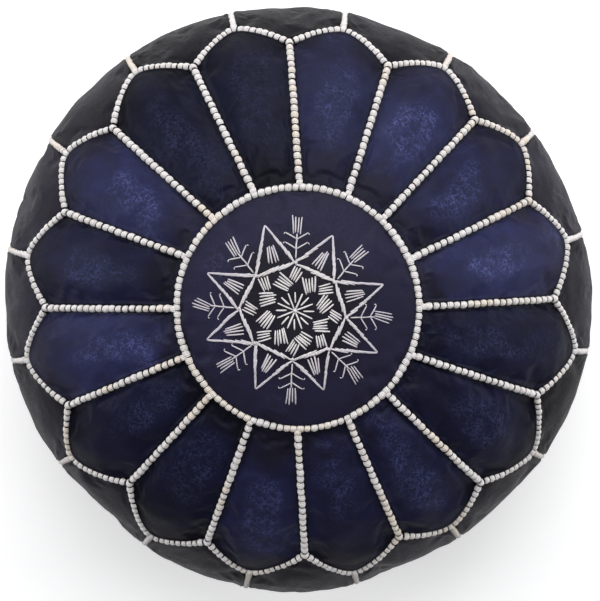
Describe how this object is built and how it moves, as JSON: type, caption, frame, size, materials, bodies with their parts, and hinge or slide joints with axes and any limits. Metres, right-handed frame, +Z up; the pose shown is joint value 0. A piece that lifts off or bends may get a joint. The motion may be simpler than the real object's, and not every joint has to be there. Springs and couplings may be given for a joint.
{
  "type": "moroccan leather pouf",
  "caption": "Round stuffed floor pouf of navy leather petals with an embroidered centre, cream beaded seams and a zip in the base.",
  "frame": {"origin": "centre of the flat ring under the base that rests on the floor", "axes": "+Z up through the medallion; the base zip runs along X and closes towards +X"},
  "size_m": [0.5198, 0.5198, 0.3174],
  "materials": {
    "medallion_leather": "smooth waxed navy leather, satin",
    "petal_leather": "navy leather with burnished, lighter middles, semi-gloss",
    "side_leather": "blue-black leather, satin",
    "base_leather": "blue-black leather, matt",
    "seam_thread": "cream cotton thread whipped over a cord",
    "embroidery_thread": "cream cotton embroidery thread, slight sheen",
    "zip_tape": "black woven tape",
    "zip_metal": "aged brass",
    "cotton": "loose cotton wadding"
  },
  "bodies": {
    "pouf": {"medallion": "medallion_leather", "petal_01": "petal_leather", "petal_02": "petal_leather", "petal_03": "petal_leather", "petal_04": "petal_leather", "petal_05": "petal_leather", "petal_06": "petal_leather", "petal_07": "petal_leather", "petal_08": "petal_leather", "petal_09": "petal_leather", "petal_10": "petal_leather", "petal_11": "petal_leather", "petal_12": "petal_leather", "petal_13": "petal_leather", "petal_14": "petal_leather", "petal_15": "petal_leather", "petal_16": "petal_leather", "side_panel_01": "side_leather", "side_panel_02": "side_leather", "side_panel_03": "side_leather", "side_panel_04": "side_leather", "side_panel_05": "side_leather", "side_panel_06": "side_leather", "side_panel_07": "side_leather", "side_panel_08": "side_leather", "side_panel_09": "side_leather", "side_panel_10": "side_leather", "side_panel_11": "side_leather", "side_panel_12": "side_leather", "side_panel_13": "side_leather", "side_panel_14": "side_leather", "side_panel_15": "side_leather", "side_panel_16": "side_leather", "base_panel": "base_leather", "medallion_cord": "seam_thread", "petal_cords": "seam_thread", "scallop_cord": "seam_thread", "side_cords": "seam_thread", "base_cord": "seam_thread", "star_embroidery": "embroidery_thread", "rosette_embroidery": "embroidery_thread", "hatch_embroidery": "embroidery_thread", "fishbone_embroidery": "embroidery_thread", "zip_tape_front": "zip_tape", "zip_tape_back": "zip_tape", "zip_teeth_front": "zip_metal", "zip_teeth_back": "zip_metal", "zip_top_stops": "zip_metal", "zip_bottom_stop": "zip_metal", "zip_end_patches": "base_leather", "cotton_wadding": "cotton", "rim_wadding": "cotton"},
    "zip_slider": {"zip_slider": "zip_metal"},
    "pull_tab": {"pull_tab": "zip_metal"}
  },
  "joints": [
    {"name": "zip_slide", "type": "slide", "parent": "pouf", "child": "zip_slider", "axis": [-1, 0, 0], "range_m": [0, 0.224], "deforming": ["zip_teeth_front", "zip_teeth_back"]},
    {"name": "pull_tab_hinge", "type": "hinge", "parent": "zip_slider", "child": "pull_tab", "pos_m": [0.112, 0, 0.0044], "axis": [0, -1, 0], "range_deg": [0, 180]}
  ]
}
